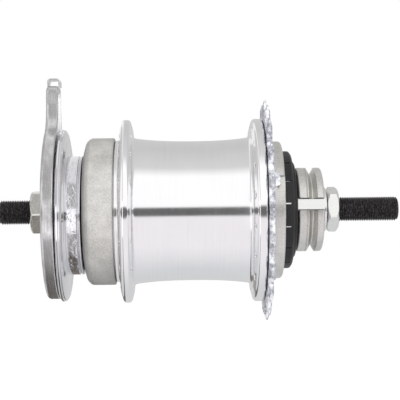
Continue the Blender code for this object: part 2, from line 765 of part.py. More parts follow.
def make_snap_ring():
    """An open ring in the driver's groove, outside the dust disc."""
    profile = [(41.1, 16.2), (42.1, 16.2), (42.1, 18.4), (41.1, 18.4)]
    swept_sector("snap_ring", profile, spring_steel(), 105.0, 435.0, 22)


def make_dust_cap():
    """Black stepped cap over the driver's end."""
    step_one, step_two = 24.9, 20.5
    outer = [(41.0, step_one), (43.8, step_one), (44.8, step_one - 1.2), (44.8, step_two),
             (45.6, step_two), (46.2, step_two - 0.6), (46.2, 13.2)]
    inner = [(44.3, 13.2), (44.3, 17.6), (43.2, 18.8), (43.2, step_one - 1.5), (41.0, step_one - 1.5)]
    turned("dust_cap", outer + inner, black_plastic(), FINE)


# ---- selector, shift key and clutch --------------------------------------------------------------
def make_selector_pulley():
    """Double-rimmed body with a V groove for the gear cable, hollow for the shift key's head."""
    groove_half, groove_depth = 2.3, 3.4
    floor = PULLEY_RADIUS - groove_depth
    groove = [(PULLEY_GROOVE - groove_half, PULLEY_RADIUS), (PULLEY_GROOVE - 0.4, floor),
              (PULLEY_GROOVE + 0.4, floor), (PULLEY_GROOVE + groove_half, PULLEY_RADIUS)]
    outer = [(PULLEY_LEFT, PULLEY_RADIUS - 0.6), (PULLEY_LEFT + 0.6, PULLEY_RADIUS), *groove,
             (PULLEY_RIGHT - 0.6, PULLEY_RADIUS), (PULLEY_RIGHT, PULLEY_RADIUS - 0.6)]
    inner = [(PULLEY_RIGHT, AXLE_BORE), (PULLEY_RIGHT - 1.6, AXLE_BORE), (PULLEY_RIGHT - 1.6, 9.0),
             (PULLEY_LEFT, 9.0)]
    turned("selector_pulley", outer + inner, cast_alloy(), MEDIUM)


def make_shift_key():
    """A bar in the axle's keyway with a foot behind the clutch and a head inside the pulley."""
    low, flush = KEYWAY_FLOOR + GAP, AXLE_RADIUS - 0.2
    foot, head = (20.4, 22.0), (48.0, 50.0)
    proud = 6.9
    side = [(foot[0], low), (head[1], low), (head[1], proud), (head[0], proud), (head[0], flush),
            (foot[1], flush), (foot[1], proud), (foot[0], proud)]
    loops = [[(x, y, z) for x, z in side] for y in (-KEY_HALF_WIDTH, KEY_HALF_WIDTH)]
    stack("shift_key", loops, hardened_steel(), ring=False)


def make_clutch():
    """A sliding hub with four arms that reach out through the driver's slots."""
    hub = 8.0
    clutch = turned("clutch", [(12.8, hub), (20.0, hub), (20.0, AXLE_BORE + 0.1), (12.8, AXLE_BORE + 0.1)],
                    hardened_steel(), COARSE)
    arm = box_corners((13.0, hub - 1.2, -CLUTCH_ARM_HALF), (15.8, CLUTCH_ARM_RADIUS, CLUTCH_ARM_HALF))
    arms = [turn_loops(arm, 2 * math.pi * i / CLUTCH_ARMS) for i in range(CLUTCH_ARMS)]
    combine(clutch, tool_of("add_clutch_arms", arms), "UNION")


def make_clutch_spring():
    """A coil round the axle between the clutch's key and the right cone."""
    left, right, radius, wire = 20.9, 35.4, 8.3, 0.55
    turns, steps, sides = 5, 10, 4
    loops = []
    for i in range(turns * steps + 1):
        angle = 2 * math.pi * i / steps
        x = left + (right - left) * i / (turns * steps)
        section = circle(wire, sides)
        loops.append([(x + a, *polar(radius + b, angle)) for a, b in section])
    stack("clutch_spring", loops, spring_steel(), ring=False)


# ---- brake ---------------------------------------------------------------------------------------
def make_brake_cone():
    """Slides on the planet cage's sleeve and wedges the shoes' right ends."""
    wedge_gap = 0.4
    tip = -22.5
    wide = shoe_inner(-19.5) - wedge_gap
    profile = [(tip, shoe_inner(tip) - wedge_gap), (-19.5, wide), (-14.4, wide), (-14.4, 15.4),
               (-12.6, 15.4), (-12.6, 9.9), (tip, 9.9)]
    turned("brake_cone", profile, hardened_steel(), MEDIUM)


def make_friction_spring():
    """An open wire ring that keeps the brake cone from turning."""
    centre_x, centre_r, wire = -13.5, 16.3, 0.6
    profile = [(centre_x + a, centre_r + b) for a, b in circle(wire, 6)]
    swept_sector("friction_spring", profile, spring_steel(), 110.0, 430.0, 20)


def make_brake_shoe(index):
    """A third of a ring, tapered inside from both ends."""
    left, right = SHOE_ENDS
    half_sweep = 54.0
    middle = (left + right) / 2
    profile = [(left, SHOE_OUTER - 0.4), (left + 0.4, SHOE_OUTER), (right - 0.4, SHOE_OUTER),
               (right, SHOE_OUTER - 0.4)]
    profile += [(x, shoe_inner(x)) for x in (right, middle + 5.0, middle, middle - 5.0, left)]
    centre = 90.0 + 360.0 * index / SHOE_COUNT
    swept_sector(f"brake_shoe_{index + 1}", profile, friction_bronze(),
                 centre - half_sweep, centre + half_sweep, 10)


def clear_scene():
    for old in list(bpy.data.objects):
        bpy.data.objects.remove(old, do_unlink=True)


def make_fixed_pieces():
    half_span = LOCKNUT_SPAN / 2
    make_axle()
    make_sun_pinion()
    make_locknut("left_locknut", -half_span, -half_span + LOCKNUT_LEFT_WIDTH, outer_is_right=False,
                 corner_angle=5.5)
    make_washer("left_washer", *LEFT_WASHER)
    make_brake_arm()
    make_arm_end_clip()
    make_brake_cover()
    make_brake_boss()
    make_left_cone()
    make_right_cone()
    make_washer("right_washer", *RIGHT_WASHER)
    make_locknut("right_locknut", half_span - LOCKNUT_RIGHT_WIDTH, half_span, outer_is_right=True,
                 corner_angle=20.0)


def make_shell_pieces():
    make_hub_shell()
    make_drum_cover()
    make_left_ball_cup()
    make_brake_liner()
    make_low_gear_ratchet()
    make_right_ball_ring()


def make_gear_train():
    make_planet_cage()
    for index in range(PLANET_COUNT):
        make_planet_pin(index)
        make_planet_pinion(index)
    make_gear_ring()
    for index in range(PAWL_COUNT):
        make_pawl(f"low_gear_pawl_{index + 1}", -4.6, -0.4, index, lifted=-1.0)
        make_pawl(f"gear_ring_pawl_{index + 1}", 17.6, 20.6, index, lifted=PAWL_OUT)


def make_driver_pieces():
    make_driver()
    make_sprocket()
    make_sprocket_dust_disc()
    make_snap_ring()
    make_dust_cap()


def make_selector_pieces():
    make_selector_pulley()
    make_shift_key()
    make_clutch()
    make_clutch_spring()


def make_brake_pieces():
    make_brake_cone()
    make_friction_spring()
    for index in range(SHOE_COUNT):
        make_brake_shoe(index)


def make_bearings():
    make_ball_cage("left_balls", LEFT_BALL, 8)
    make_ball_cage("main_balls", MAIN_BALL, 9)
    make_ball_cage("driver_balls", DRIVER_BALL, 7)


def main():
    clear_scene()
    make_fixed_pieces()
    make_shell_pieces()
    make_gear_train()
    make_driver_pieces()
    make_selector_pieces()
    make_brake_pieces()
    make_bearings()


main()
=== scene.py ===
import json
import math

import bmesh
import bpy
from mathutils import Matrix, Vector


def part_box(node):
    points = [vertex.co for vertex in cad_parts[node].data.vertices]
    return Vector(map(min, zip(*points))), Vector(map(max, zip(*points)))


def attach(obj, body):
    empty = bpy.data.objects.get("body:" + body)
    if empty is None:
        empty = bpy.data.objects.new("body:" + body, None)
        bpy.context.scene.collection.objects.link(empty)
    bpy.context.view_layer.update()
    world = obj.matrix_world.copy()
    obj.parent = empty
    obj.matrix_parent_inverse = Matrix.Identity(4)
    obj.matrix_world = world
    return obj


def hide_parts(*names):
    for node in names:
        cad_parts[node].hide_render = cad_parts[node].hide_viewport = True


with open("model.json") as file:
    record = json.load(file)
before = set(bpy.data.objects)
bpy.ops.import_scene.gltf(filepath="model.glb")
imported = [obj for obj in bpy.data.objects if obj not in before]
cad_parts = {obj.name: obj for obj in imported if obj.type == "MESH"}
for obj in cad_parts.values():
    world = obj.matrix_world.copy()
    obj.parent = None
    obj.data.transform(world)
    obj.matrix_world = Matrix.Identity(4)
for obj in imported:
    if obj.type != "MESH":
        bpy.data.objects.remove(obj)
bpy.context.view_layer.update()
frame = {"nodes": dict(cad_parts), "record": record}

# The looks of a bicycle hub gear.  +X runs along the axle towards the sprocket and +Z is up.
# Lengths in this script are millimetres; a mesh is turned into metres when it is written.
MM = 0.001

ROUND = 144                  # steps round a large turned piece
SMALL_ROUND = 72             # steps round a small one
SHARP_ANGLE = 32.0           # degrees between two faces from which their edge is drawn sharp
EDGE_SHARE = 0.49            # the most of an edge that the fillet at one of its ends may take


# ---- sizes read from the frame -------------------------------------------------------------------
def span(node):
    """(lowest x, highest x, radius) of a round CAD node, in millimetres."""
    low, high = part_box(node)
    return low.x / MM, high.x / MM, high.y / MM


# ---- outlines and profiles -----------------------------------------------------------------------
def polar(radius, angle):
    return (radius * math.cos(angle), radius * math.sin(angle))


def circle(radius, count=ROUND):
    return [polar(radius, 2 * math.pi * i / count) for i in range(count)]


def rounded(corners, steps=5):
    """Round a closed profile's corners: each is (x, r) or (x, r, fillet radius)."""
    count = len(corners)
    points = []
    for i, corner in enumerate(corners):
        here = Vector(corner[:2])
        fillet = corner[2] if len(corner) > 2 else 0.0
        if fillet <= 0.0:
            points.append(tuple(here))
            continue
        before = Vector(corners[i - 1][:2]) - here
        after = Vector(corners[(i + 1) % count][:2]) - here
        half_turn = before.angle(after) / 2
        longest = EDGE_SHARE * min(before.length, after.length)
        reach = min(fillet / math.tan(half_turn), longest)
        radius = reach * math.tan(half_turn)
        middle = (before.normalized() + after.normalized()).normalized()
        centre = here + middle * (radius / math.sin(half_turn))
        start = here + before.normalized() * reach - centre
        end = here + after.normalized() * reach - centre
        first = math.atan2(start.y, start.x)
        sweep = (math.atan2(end.y, end.x) - first + math.pi) % (2 * math.pi) - math.pi
        for k in range(steps + 1):
            dx, dr = polar(radius, first + sweep * k / steps)
            points.append((centre.x + dx, centre.y + dr))
    return points


# ---- meshes --------------------------------------------------------------------------------------
def write_mesh(name, bm, mat, sharp=SHARP_ANGLE):
    """Turn a mesh in millimetres into an object in metres."""
    bmesh.ops.recalc_face_normals(bm, faces=bm.faces)
    bm.transform(Matrix.Scale(MM, 4))
    mesh = bpy.data.meshes.new(name)
    bm.to_mesh(mesh)
    bm.free()
    mesh.materials.append(mat)
    mesh.shade_smooth()
    mesh.set_sharp_from_angle(angle=math.radians(sharp))
    made = bpy.data.objects.new(name, mesh)
    bpy.context.scene.collection.objects.link(made)
    return made


def add_stack(bm, loops, ring):
    """Join loops of points in order; a ring closes on its first loop, a bar is capped."""
    rows = [[bm.verts.new(point) for point in loop] for loop in loops]
    pairs = list(zip(rows, rows[1:]))
    if ring:
        pairs.append((rows[-1], rows[0]))
    for first, second in pairs:
        count = len(first)
        for i in range(count):
            bm.faces.new((first[i], first[(i + 1) % count], second[(i + 1) % count], second[i]))
    if not ring:
        bm.faces.new(rows[0])
        bm.faces.new(rows[-1])


def stack(name, loops, mat, ring=True, sharp=SHARP_ANGLE):
    bm = bmesh.new()
    add_stack(bm, loops, ring)
    return write_mesh(name, bm, mat, sharp)


def at(x, outline):
    """An outline of (y, z) points, put at x."""
    return [(x, y, z) for y, z in outline]


def turned(name, profile, mat, steps=ROUND, sag=0.0):
    """Turn a closed profile of (x, r) points about a line that runs sag below the axle's axis."""
    loops = [[(x, y, z - sag) for y, z in circle(r, steps)] for x, r in profile]
    return stack(name, loops, mat)


def tool_of(stacks, mat):
    """One object of several closed bars, to cut away together."""
    bm = bmesh.new()
    for loops in stacks:
        add_stack(bm, loops, ring=False)
    return write_mesh("tool", bm, mat)


def turn_loops(loops, angle):
    """Turn loops of points about the axle's axis."""
    cos, sin = math.cos(angle), math.sin(angle)
    return [[(x, y * cos - z * sin, y * sin + z * cos) for x, y, z in loop] for loop in loops]


def box_loops(low, high):
    """Two loops of four corners, at the low x and the high x."""
    face = [(low[1], low[2]), (high[1], low[2]), (high[1], high[2]), (low[1], high[2])]
    return [at(low[0], face), at(high[0], face)]


def cut(target, tool):
    """Cut a tool out of a piece and leave one plain mesh; cut faces keep the tool's material."""
    modifier = target.modifiers.new("cut", "BOOLEAN")
    modifier.operation = "DIFFERENCE"
    modifier.solver = "EXACT"
    modifier.material_mode = "TRANSFER"
    modifier.object = tool
    bpy.context.view_layer.update()
    evaluated = target.evaluated_get(bpy.context.evaluated_depsgraph_get())
    mesh = bpy.data.meshes.new_from_object(evaluated)
    target.modifiers.clear()
    target.data = mesh
    bpy.data.objects.remove(tool, do_unlink=True)
    mesh.set_sharp_from_angle(angle=math.radians(SHARP_ANGLE))


def settle(piece, body, slot, *nodes):
    """Even out a piece's shading, put it on its body and hide the CAD nodes it stands for; its slot is not
    used.
    """
    shading = piece.modifiers.new("even_shading", "WEIGHTED_NORMAL")
    shading.keep_sharp = True
    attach(piece, body)
    if nodes:
        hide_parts(*nodes)


# ---- materials -----------------------------------------------------------------------------------
class Nodes:
    """A short way to build the nodes of one material or of the world."""

    def __init__(self, owner):
        owner.use_nodes = True
        self.owner = owner
        self.tree = owner.node_tree
        self.shader = self.tree.nodes.get("Principled BSDF")

    def add(self, kind, **settings):
        node = self.tree.nodes.new(kind)
        for key, value in settings.items():
            setattr(node, key, value)
        return node

    def link(self, source, target):
        self.tree.links.new(source, target)

    def feed(self, socket, source):
        """Drive one socket of the surface's shader."""
        self.link(source, self.shader.inputs[socket])

    def math(self, operation, first, second=None):
        node = self.add("ShaderNodeMath", operation=operation)
        for socket, value in zip(node.inputs, (first, second)):
            if value is None:
                continue
            if isinstance(value, (int, float)):
                socket.default_value = value
            else:
                self.link(value, socket)
        return node.outputs[0]

    def weighted(self, first, first_weight, second, second_weight):
        """The weighted sum of two values."""
        return self.math("ADD", self.math("MULTIPLY", first, first_weight),
                         self.math("MULTIPLY", second, second_weight))

    def position(self):
        """The point on the piece in metres, which moves with the piece."""
        return self.add("ShaderNodeTexCoord").outputs["Object"]

    def split(self, vector):
        node = self.add("ShaderNodeSeparateXYZ")
        self.link(vector, node.inputs[0])
        return node.outputs

    def lathe_position(self):
        """(x, distance from the axle's axis, a little of the angle), so that noise runs in rings."""
        metres_per_radian = 0.0006
        x, y, z = self.split(self.position())
        radius = self.math("SQRT", self.weighted(y, y, z, z))
        angle = self.math("MULTIPLY", self.math("ARCTAN2", z, y), metres_per_radian)
        join = self.add("ShaderNodeCombineXYZ")
        for source, socket in zip((x, radius, angle), join.inputs):
            self.link(source, socket)
        return join.outputs[0]

    def round_share(self, y, z):
        """The direction round the axle's axis from 0 to 1: 0.5 is to the front and 0.75 is up."""
        radians = self.math("ARCTAN2", z, self.math("MULTIPLY", y, -1.0))
        return self.math("ADD", self.math("MULTIPLY", radians, 0.5 / math.pi), 0.5)

    def noise(self, where, scale, detail=3.0, stretch=(1.0, 1.0, 1.0)):
        mapping = self.add("ShaderNodeMapping")
        mapping.inputs["Scale"].default_value = stretch
        self.link(where, mapping.inputs["Vector"])
        noise = self.add("ShaderNodeTexNoise")
        noise.inputs["Scale"].default_value = scale
        noise.inputs["Detail"].default_value = detail
        self.link(mapping.outputs[0], noise.inputs["Vector"])
        return noise.outputs["Fac"]

    def spread(self, value, low, high, source_low=0.3, source_high=0.7):
        """Carry a value's range onto another."""
        node = self.add("ShaderNodeMapRange")
        node.inputs["From Min"].default_value = source_low
        node.inputs["From Max"].default_value = source_high
        node.inputs["To Min"].default_value = low
        node.inputs["To Max"].default_value = high
        self.link(value, node.inputs["Value"])
        return node.outputs[0]

    def colour_between(self, factor, first, second):
        mix = self.add("ShaderNodeMix", data_type="RGBA")
        mix.inputs["A"].default_value = (*first, 1.0)
        mix.inputs["B"].default_value = (*second, 1.0)
        self.link(factor, mix.inputs["Factor"])
        return mix.outputs["Result"]

    def ramp(self, share, stops):
        """Colours by angle round the axle's axis: 0 degrees is to the front and 90 is up."""
        node = self.add("ShaderNodeValToRGB")
        elements = node.color_ramp.elements
        elements.remove(elements[-1])
        for i, (degrees, colour) in enumerate(stops):
            place = (degrees + 180.0) / 360.0
            element = elements.new(place) if i else elements[0]
            element.position = place
            element.color = (*colour, 1.0)
        self.link(share, node.inputs[0])
        return node.outputs[0]

    def bump(self, height, strength, distance):
        node = self.add("ShaderNodeBump")
        node.inputs["Strength"].default_value = strength
        node.inputs["Distance"].default_value = distance
        self.link(height, node.inputs["Height"])
        self.feed("Normal", node.outputs[0])

    def plain(self, **values):
        for key, value in values.items():
            self.shader.inputs[key.replace("_", " ")].default_value = value


def turned_metal(name, light, dark, roughness, ring_bump, dent_bump=0.0):
    """Metal off a lathe: faint rings, with cloudy changes of colour and gloss and perhaps soft dents."""
    ring_scale, cloud_scale, dent_scale = 1500.0, 90.0, 420.0
    n = Nodes(bpy.data.materials.new(name))
    n.plain(Metallic=1.0)
    rings = n.noise(n.lathe_position(), ring_scale, 5.0)
    clouds = n.noise(n.position(), cloud_scale, 4.0)
    mixed = n.weighted(rings, 0.5, clouds, 0.5)
    n.feed("Base Color", n.colour_between(n.spread(mixed, 0.0, 1.0), dark, light))
    n.feed("Roughness", n.spread(mixed, roughness[0], roughness[1]))
    dents = n.noise(n.position(), dent_scale, 2.0)
    n.bump(n.weighted(rings, ring_bump, dents, dent_bump), 0.3, 1.0)
    return n.owner


def grained_metal(name, light, dark, roughness, grain_scale, grain_bump, metallic=1.0, evenness=0.2):
    """Cast, blasted or plated metal: a grain with blotches, stronger the smaller its evenness."""
    blotch_scale = 160.0
    n = Nodes(bpy.data.materials.new(name))
    n.plain(Metallic=metallic)
    grain = n.noise(n.position(), grain_scale, 5.0)
    blotches = n.noise(n.position(), blotch_scale, 4.0)
    mixed = n.weighted(grain, 0.55, blotches, 0.45)
    low = 0.5 - evenness
    high = 0.5 + evenness
    n.feed("Base Color", n.colour_between(n.spread(mixed, 0.0, 1.0, low, high), dark, light))
    n.feed("Roughness", n.spread(mixed, roughness[0], roughness[1], low, high))
    n.bump(grain, 0.4, grain_bump)
    return n.owner


def worn_chrome(name):
    """Bright plating over pressed steel, with draw marks and a few dull patches."""
    mark_scale, patch_scale = 1500.0, 170.0
    dull, bright = (0.52, 0.505, 0.51), (0.74, 0.735, 0.745)
    n = Nodes(bpy.data.materials.new(name))
    n.plain(Metallic=1.0)
    marks = n.noise(n.position(), mark_scale, 4.0, stretch=(1.0, 0.12, 0.12))
    patches = n.noise(n.position(), patch_scale, 5.0)
    mixed = n.weighted(marks, 0.45, patches, 0.55)
    n.feed("Base Color", n.colour_between(n.spread(mixed, 0.0, 1.0, 0.38, 0.62), dull, bright))
    n.feed("Roughness", n.spread(mixed, 0.34, 0.16))
    n.bump(mixed, 0.3, 0.0002)
    return n.owner


def black_thread(name):
    """Black oxide, worn to bare metal in specks."""
    speck_scale = 1400.0
    oxide, bare = (0.020, 0.018, 0.020), (0.15, 0.14, 0.14)
    n = Nodes(bpy.data.materials.new(name))
    n.plain(Metallic=0.7)
    specks = n.noise(n.position(), speck_scale, 4.0)
    n.feed("Base Color", n.colour_between(n.spread(specks, 0.0, 1.0, 0.45, 0.75), oxide, bare))
    n.feed("Roughness", n.spread(specks, 0.44, 0.28))
    n.bump(specks, 0.3, 0.00005)
    return n.owner


def moulded_plastic(name):
    """Black plastic with a fine grain and faint clouds."""
    grain_scale, cloud_scale = 2400.0, 120.0
    dark, light = (0.007, 0.007, 0.008), (0.015, 0.015, 0.016)
    n = Nodes(bpy.data.materials.new(name))
    n.plain(Metallic=0.0, Specular_IOR_Level=0.35)
    grain = n.noise(n.position(), grain_scale, 3.0)
    clouds = n.noise(n.position(), cloud_scale, 3.0)
    n.feed("Base Color", n.colour_between(n.spread(clouds, 0.0, 1.0), dark, light))
    n.feed("Roughness", n.spread(grain, 0.36, 0.50))
    n.bump(grain, 0.25, 0.00004)
    return n.owner


POLISHED = turned_metal(
    "polished_alloy", light=(0.95, 0.945, 0.95), dark=(0.90, 0.895, 0.91), roughness=(0.07, 0.13),
    ring_bump=0.000004)
CHROME = turned_metal(
    "bright_chrome", light=(0.86, 0.86, 0.88), dark=(0.76, 0.76, 0.79), roughness=(0.05, 0.12),
    ring_bump=0.00001)
BOSS_CHROME = turned_metal(
    "boss_chrome", light=(0.90, 0.90, 0.92), dark=(0.66, 0.65, 0.68), roughness=(0.07, 0.18),
    ring_bump=0.00002, dent_bump=0.0004)
STEEL = turned_metal(
    "hardened_steel", light=(0.50, 0.50, 0.52), dark=(0.38, 0.38, 0.40), roughness=(0.22, 0.34),
    ring_bump=0.00001)
SPRING = turned_metal(
    "spring_steel", light=(0.36, 0.36, 0.39), dark=(0.26, 0.26, 0.29), roughness=(0.25, 0.38),
    ring_bump=0.00001)
ARM_CHROME = worn_chrome("arm_chrome")
# Painted light: a near-white, nearly matt copy of the arm's plating for the pan's inside faces, a painted
# reflection that makes the far inner wall look lit.
PAN_PAINTED_LIGHT = grained_metal(
    "pan_painted_light", light=(0.97, 0.97, 0.98), dark=(0.84, 0.84, 0.86), roughness=(0.40, 0.55),
    grain_scale=900.0, grain_bump=0.0001, metallic=0.1)
DRUM = grained_metal(
    "matt_alloy", light=(0.62, 0.61, 0.585), dark=(0.40, 0.39, 0.37), roughness=(0.38, 0.50),
    grain_scale=1900.0, grain_bump=0.0002, metallic=0.4, evenness=0.14)
SATIN = grained_metal(
    "satin_alloy", light=(0.84, 0.83, 0.80), dark=(0.60, 0.59, 0.56), roughness=(0.30, 0.44),
    grain_scale=1500.0, grain_bump=0.0001, evenness=0.16)
NUT = grained_metal(
    "nut_zinc", light=(0.76, 0.75, 0.71), dark=(0.62, 0.61, 0.57), roughness=(0.15, 0.27),
    grain_scale=1100.0, grain_bump=0.0001)
BRIGHT_NUT = grained_metal(
    "bright_nut_zinc", light=(0.90, 0.90, 0.88), dark=(0.80, 0.80, 0.78), roughness=(0.18, 0.28),
    grain_scale=1100.0, grain_bump=0.00006)
CLIP = grained_metal(
    "clip_zinc", light=(0.90, 0.90, 0.91), dark=(0.76, 0.76, 0.78), roughness=(0.18, 0.30),
    grain_scale=900.0, grain_bump=0.00008)
SPROCKET = grained_metal(
    "sprocket_zinc", light=(0.96, 0.97, 1.0), dark=(0.34, 0.35, 0.40), roughness=(0.22, 0.44),
    grain_scale=620.0, grain_bump=0.0005, metallic=0.6, evenness=0.09)
BRONZE = grained_metal(
    "friction_bronze", light=(0.60, 0.42, 0.22), dark=(0.45, 0.30, 0.15), roughness=(0.40, 0.55),
    grain_scale=1500.0, grain_bump=0.00008)
BLACK = moulded_plastic("black_plastic")
THREAD = black_thread("black_oxide")
SLOT_MATERIAL = {"hardened_steel": STEEL, "spring_steel": SPRING, "friction_bronze": BRONZE,
                 "nut_zinc": NUT}


def dress_hidden_nodes():
    """The pieces inside keep their CAD shape and take their slot's material."""
    for part in frame["record"]["subparts"]:
        mat = SLOT_MATERIAL.get(part["material_slot"])
        if mat:
            mesh = frame["nodes"][part["node"]].data
            mesh.materials.clear()
            mesh.materials.append(mat)


# ---- axle and nuts -------------------------------------------------------------------------------
THREAD_PITCH = 0.98
THREAD_DEPTH = 0.55
END_ROUNDING = 1.4
NUT_FLATS = 17.0
AXLE_LEFT, AXLE_RIGHT, AXLE_RADIUS = span("axle")
AXLE_BORE = AXLE_RADIUS + 0.3


def thread_rows(left, right, start_taper, end_taper):
    """Loops of a threaded stretch: a rounded V that winds round the bar and fades at each end."""
    rows_per_pitch = 8
    crest_width = 0.8
    count = int((right - left) / THREAD_PITCH * rows_per_pitch)
    rows = []
    for i in range(count + 1):
        x = left + (right - left) * i / count
        fade = min(1.0, max(0.0, (x - left) / start_taper), max(0.0, (right - x) / end_taper))
        beyond = max(0.0, 1.0 - min(x - left, right - x) / END_ROUNDING)
        end_drop = END_ROUNDING * (1.0 - math.sqrt(1.0 - beyond ** 2))
        row = []
        for k in range(SMALL_ROUND):
            angle = 2 * math.pi * k / SMALL_ROUND
            turn = (x / THREAD_PITCH - k / SMALL_ROUND) % 1.0
            groove = (0.5 + 0.5 * math.cos(2 * math.pi * turn)) ** crest_width
            radius = AXLE_RADIUS - THREAD_DEPTH * groove * fade - end_drop
            row.append((x, *polar(radius, angle)))
        rows.append(row)
    return rows


def make_axle():
    """A bar with a thread from each end to just inside its locknut."""
    inside_nut, end_taper, inner_taper = 3.0, 0.6, 2.0
    left_end = span("left_locknut")[0] + inside_nut
    right_start = span("right_locknut")[1] - inside_nut
    rows = thread_rows(AXLE_LEFT, left_end, end_taper, inner_taper)
    rows += thread_rows(right_start, AXLE_RIGHT, inner_taper, end_taper)
    piece = stack("axle_threaded", rows, THREAD, ring=False, sharp=60.0)
    settle(piece, "axle_unit", "black_oxide", "axle")


def make_nut(name, node, corner_angle, mat):
    """A hexagon with a corner at corner_angle degrees, cut by a cone at both faces."""
    left, right, _ = span(node)
    flat = NUT_FLATS / 2
    corner = flat / math.cos(math.pi / 6)
    first_flat = math.radians(corner_angle) + math.pi / 6
    steps, cone_steps = 96, 8
    edge, cone_depth, bore_edge = 0.25, 1.3, 0.5
    profile = [(left, flat - 0.5), (left + edge, flat - 0.1)]
    for i in range(1, cone_steps + 1):
        share = i / cone_steps
        profile.append((left + edge + (cone_depth - edge) * share, flat + (corner - flat) * share))
    profile += [(left + right - x, r) for x, r in profile[::-1]]
    rows = []
    for x, limit in profile:
        row = []
        for k in range(steps):
            angle = 2 * math.pi * k / steps
            from_flat = (angle - first_flat + math.pi / 6) % (math.pi / 3) - math.pi / 6
            row.append((x, *polar(min(flat / math.cos(from_flat), limit), angle)))
        rows.append(row)
    wide = circle(AXLE_BORE + bore_edge, steps)
    narrow = circle(AXLE_BORE, steps)
    rows += [at(right, wide), at(right - bore_edge, narrow), at(left + bore_edge, narrow), at(left, wide)]
    settle(stack(name, rows, mat, sharp=25.0), "axle_unit", "nut_zinc", node)


def make_right_washer():
    left, right, radius = span("right_washer")
    profile = rounded([(left, radius, 0.3), (right, radius, 0.3), (right, AXLE_BORE), (left, AXLE_BORE)])
    washer = turned("right_washer_ring", profile, CLIP, SMALL_ROUND)
    settle(washer, "axle_unit", "clip_zinc", "right_washer")


# ---- brake end -----------------------------------------------------------------------------------
ARM_HALF_WIDTH = 7.5
ARM_BLEND = 14.0
ARM_SHEET = 2.2
ARM_LEFT, ARM_RIGHT, ARM_RADIUS = span("brake_arm")
ARM_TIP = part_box("brake_arm")[1].z / MM
COVER_SAG = 1.5              # the cover and the boss hang this far below the axle's line
CONE_NECK = 12.3


def arm_outline(inset):
    """The brake arm's edge: a disc that runs into a short arm along +Z, moved inwards by inset."""
    disc = ARM_RADIUS - inset
    half = ARM_HALF_WIDTH - inset
    blend = ARM_BLEND + inset
    corner = 3.0
    centre = (half + blend, math.sqrt((disc + blend) ** 2 - (half + blend) ** 2))
    meet = math.atan2(centre[1], centre[0])
    disc_steps, blend_steps, corner_steps = 60, 12, 8
    bottom = -math.pi / 2
    side = [polar(disc, bottom + (meet - bottom) * i / disc_steps) for i in range(disc_steps + 1)]
    for i in range(1, blend_steps + 1):
        y, z = polar(blend, math.pi + meet * (1 - i / blend_steps))
        side.append((centre[0] + y, centre[1] + z))
    for i in range(corner_steps + 1):
        y, z = polar(corner, math.pi / 2 * i / corner_steps)
        side.append((half - corner + y, ARM_TIP - inset - corner + z))
    return side + [(-y, z) for y, z in side[-1:0:-1]]


def make_brake_arm():
    """A pressed pan: a web with a ring pressed into it, and a rim turned in towards the hub."""
    bend, lip, press, edge, corner, steps = 1.3, 0.5, 0.8, 0.3, 1.0, 5
    section = []
    for i in range(steps + 1):
        angle = math.pi / 2 * i / steps
        section.append((ARM_LEFT + bend * (1 - math.cos(angle)), bend * (1 - math.sin(angle))))
    for i in range(steps + 1):
        angle = math.pi / 2 * i / steps
        section.append((ARM_RIGHT - lip * (1 - math.sin(angle)), lip * (1 - math.cos(angle))))
    outside_loops = len(section)
    floor = ARM_LEFT + ARM_SHEET
    section += [(ARM_RIGHT, ARM_SHEET - edge), (ARM_RIGHT - edge, ARM_SHEET),
                (floor + corner, ARM_SHEET), (floor, ARM_SHEET + corner)]
    angles = [math.atan2(z, y) for y, z in arm_outline(0.0)]
    pressed = [(31.0, 0.0), (30.0, press), (17.0, press), (16.0, 0.0), (AXLE_BORE, 0.0)]
    loops = [at(x, arm_outline(inset)) for x, inset in section]
    loops += [at(floor + depth, [polar(r, a) for a in angles]) for r, depth in pressed]
    inside_loops = len(loops) - 1
    loops += [at(ARM_LEFT + depth, [polar(r, a) for a in angles]) for r, depth in pressed[::-1]]
    pan = stack("brake_arm_pan", loops, ARM_CHROME)
    # The pan's inside faces take the painted-light copy of the plating, a painted reflection so the inner
    # wall looks lit.
    pan.data.materials.append(PAN_PAINTED_LIGHT)
    for face in pan.data.polygons[len(angles) * outside_loops:len(angles) * inside_loops]:
        face.material_index = 1
    settle(pan, "axle_unit", "pressed_chrome", "brake_arm")


def make_end_clip():
    """A strip folded over the tip of the arm, open at both sides."""
    low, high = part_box("arm_end_clip")
    left = low.x / MM - 0.5
    right = high.x / MM + 0.6
    top = high.z / MM - 0.5
    half = high.y / MM
    foot = ARM_TIP - 0.1
    wall, outer_bend, inner_bend = 0.65, 1.5, 0.9
    outer = rounded([(left, foot), (left, top, outer_bend), (right, top, outer_bend), (right, foot)],
                    steps=6)
    inner = rounded([(right - wall, foot), (right - wall, top - wall, inner_bend),
                     (left + wall, top - wall, inner_bend), (left + wall, foot)], steps=6)
    loops = [[(x, y, z) for x, z in outer + inner] for y in (-half, half)]
    piece = stack("arm_end_clip_strip", loops, CLIP, ring=False)
    bevel = piece.modifiers.new("soft_edges", "BEVEL")
    bevel.width = 0.2 * MM
    bevel.segments = 2
    settle(piece, "axle_unit", "clip_zinc", "arm_end_clip")


